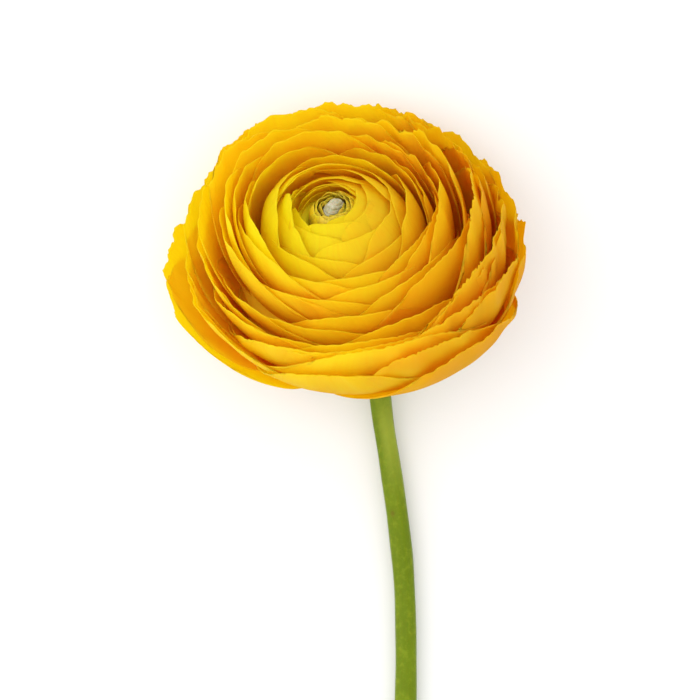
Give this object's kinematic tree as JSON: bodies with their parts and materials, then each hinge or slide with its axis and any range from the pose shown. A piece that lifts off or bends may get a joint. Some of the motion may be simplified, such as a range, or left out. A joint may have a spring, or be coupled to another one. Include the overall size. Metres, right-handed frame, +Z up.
{
  "type": "ranunculus flower",
  "caption": "Cut ranunculus lying down: a double bloom of closely nested golden petals round an olive heart, with a green calyx and a bare curved stem.",
  "frame": {"origin": "on the surface that the flower lies on, at the middle of its outline in plan", "axes": "+Y from the stem's cut end towards the bloom; +Z up from the surface; +X to the right, seen from above with the bloom ahead"},
  "size_m": [0.086, 0.2082, 0.0676],
  "materials": {
    "petal": "satin",
    "heart_petal": "satin",
    "centre": "matte",
    "calyx": "matte",
    "stem": "satin"
  },
  "bodies": {
    "root": {"petals": "petal", "heart_petals": "heart_petal", "centre": "centre", "calyx": "calyx", "stem": "stem"}
  },
  "joints": []
}
